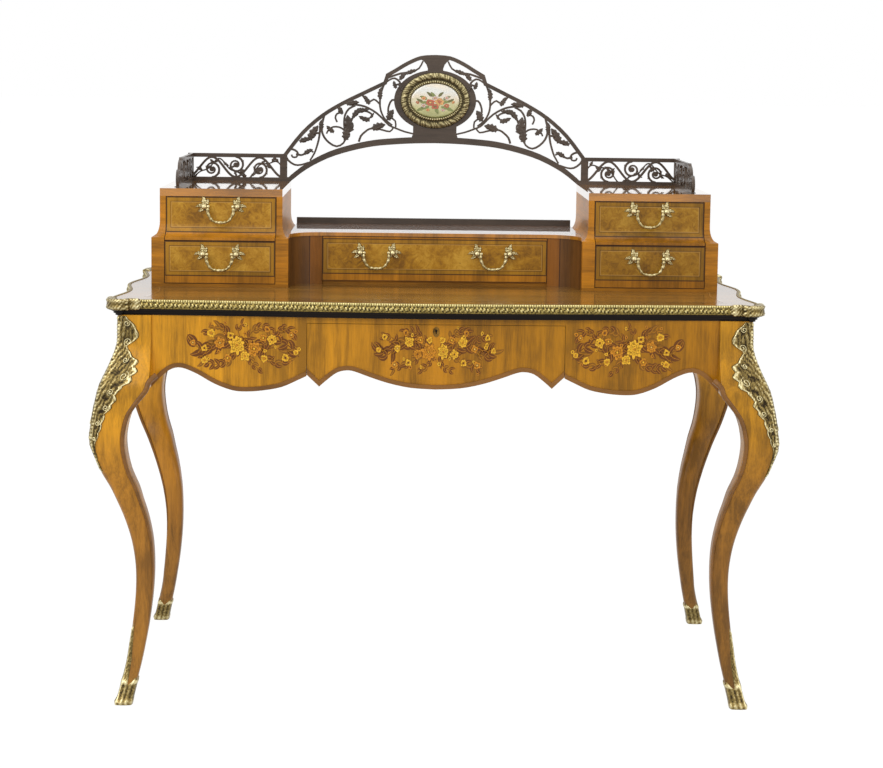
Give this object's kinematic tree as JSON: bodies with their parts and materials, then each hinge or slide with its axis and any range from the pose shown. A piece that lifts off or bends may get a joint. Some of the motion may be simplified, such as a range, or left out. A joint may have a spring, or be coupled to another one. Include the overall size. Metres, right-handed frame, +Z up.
{
  "type": "writing table",
  "caption": "Walnut and marquetry writing table on cabriole legs, with sliding drawers, swinging bail handles, a raised cabinet and a pierced arched gallery.",
  "frame": {"origin": "on the floor, under the middle of the table", "axes": "+X to the viewer's right, +Y from the front to the rear, +Z up"},
  "size_m": [1.2604, 0.629, 1.201],
  "materials": {
    "walnut_veneer": "french polished straight and crossbanded walnut",
    "dark_walnut": "dark stained walnut, satin polish",
    "burr_walnut": "polished burr walnut with fine stringing",
    "gilt_brass": "cast and gilt, worn in the high spots",
    "drawer_lining": "plain planed timber",
    "lock_steel": "filed steel",
    "ebonised": "black polish",
    "porcelain": null
  },
  "bodies": {
    "table": {"leg_front_left": "walnut_veneer", "leg_front_right": "walnut_veneer", "leg_rear_left": "walnut_veneer", "leg_rear_right": "walnut_veneer", "front_aprons": "walnut_veneer", "side_aprons": "walnut_veneer", "rear_apron": "walnut_veneer", "front_top_rail": "walnut_veneer", "table_top": "walnut_veneer", "cabinet_left_sides": "walnut_veneer", "cabinet_left_top": "walnut_veneer", "cabinet_right_sides": "walnut_veneer", "cabinet_right_top": "walnut_veneer", "centre_shelf": "walnut_veneer", "centre_quadrants": "walnut_veneer", "apron_beads": "dark_walnut", "shelf_upstand": "dark_walnut", "rear_frets": "dark_walnut", "side_frets": "dark_walnut", "gallery_arch": "dark_walnut", "top_field": "burr_walnut", "knee_mounts": "gilt_brass", "sabots": "gilt_brass", "brass_edge": "gilt_brass", "corner_clasps": "gilt_brass", "plaque_frame": "gilt_brass", "frieze_partitions": "drawer_lining", "cabinet_left_boards": "drawer_lining", "cabinet_right_boards": "drawer_lining", "centre_boards": "drawer_lining", "under_moulding": "ebonised", "plaque": "porcelain"},
    "frieze_drawer": {"frieze_drawer_front": "walnut_veneer", "frieze_drawer_bead": "dark_walnut", "frieze_drawer_box": "drawer_lining", "lock_case": "lock_steel", "escutcheon": "gilt_brass"},
    "lock_bolt": {"lock_bolt": "lock_steel"},
    "left_upper_drawer": {"left_upper_front": "burr_walnut", "left_upper_box": "drawer_lining", "left_upper_posts": "gilt_brass"},
    "left_upper_bail": {"left_upper_bail": "gilt_brass"},
    "left_lower_drawer": {"left_lower_front": "burr_walnut", "left_lower_box": "drawer_lining", "left_lower_posts": "gilt_brass"},
    "left_lower_bail": {"left_lower_bail": "gilt_brass"},
    "right_upper_drawer": {"right_upper_front": "burr_walnut", "right_upper_box": "drawer_lining", "right_upper_posts": "gilt_brass"},
    "right_upper_bail": {"right_upper_bail": "gilt_brass"},
    "right_lower_drawer": {"right_lower_front": "burr_walnut", "right_lower_box": "drawer_lining", "right_lower_posts": "gilt_brass"},
    "right_lower_bail": {"right_lower_bail": "gilt_brass"},
    "centre_drawer": {"centre_front": "burr_walnut", "centre_box": "drawer_lining", "centre_posts": "gilt_brass"},
    "centre_left_bail": {"centre_left_bail": "gilt_brass"},
    "centre_right_bail": {"centre_right_bail": "gilt_brass"}
  },
  "joints": [
    {"name": "frieze_drawer_slide", "type": "slide", "parent": "table", "child": "frieze_drawer", "axis": [0, -1, 0], "range_m": [0, 0.3]},
    {"name": "lock_bolt_slide", "type": "slide", "parent": "frieze_drawer", "child": "lock_bolt", "axis": [0, 0, 1], "range_m": [0, 0.008]},
    {"name": "left_upper_drawer_slide", "type": "slide", "parent": "table", "child": "left_upper_drawer", "axis": [0, -1, 0], "range_m": [0, 0.19]},
    {"name": "left_lower_drawer_slide", "type": "slide", "parent": "table", "child": "left_lower_drawer", "axis": [0, -1, 0], "range_m": [0, 0.19]},
    {"name": "right_upper_drawer_slide", "type": "slide", "parent": "table", "child": "right_upper_drawer", "axis": [0, -1, 0], "range_m": [0, 0.19]},
    {"name": "right_lower_drawer_slide", "type": "slide", "parent": "table", "child": "right_lower_drawer", "axis": [0, -1, 0], "range_m": [0, 0.19]},
    {"name": "centre_drawer_slide", "type": "slide", "parent": "table", "child": "centre_drawer", "axis": [0, -1, 0], "range_m": [0, 0.19]},
    {"name": "left_upper_bail_hinge", "type": "hinge", "parent": "left_upper_drawer", "child": "left_upper_bail", "pos_m": [-0.4155, -0.031, 0.903], "axis": [-1, 0, 0], "range_deg": [0, 85]},
    {"name": "left_lower_bail_hinge", "type": "hinge", "parent": "left_lower_drawer", "child": "left_lower_bail", "pos_m": [-0.4155, -0.059, 0.813], "axis": [-1, 0, 0], "range_deg": [0, 85]},
    {"name": "right_upper_bail_hinge", "type": "hinge", "parent": "right_upper_drawer", "child": "right_upper_bail", "pos_m": [0.4155, -0.031, 0.903], "axis": [-1, 0, 0], "range_deg": [0, 85]},
    {"name": "right_lower_bail_hinge", "type": "hinge", "parent": "right_lower_drawer", "child": "right_lower_bail", "pos_m": [0.4155, -0.059, 0.813], "axis": [-1, 0, 0], "range_deg": [0, 85]},
    {"name": "centre_left_bail_hinge", "type": "hinge", "parent": "centre_drawer", "child": "centre_left_bail", "pos_m": [-0.115, 0.02, 0.812], "axis": [-1, 0, 0], "range_deg": [0, 85]},
    {"name": "centre_right_bail_hinge", "type": "hinge", "parent": "centre_drawer", "child": "centre_right_bail", "pos_m": [0.115, 0.02, 0.812], "axis": [-1, 0, 0], "range_deg": [0, 85]}
  ]
}
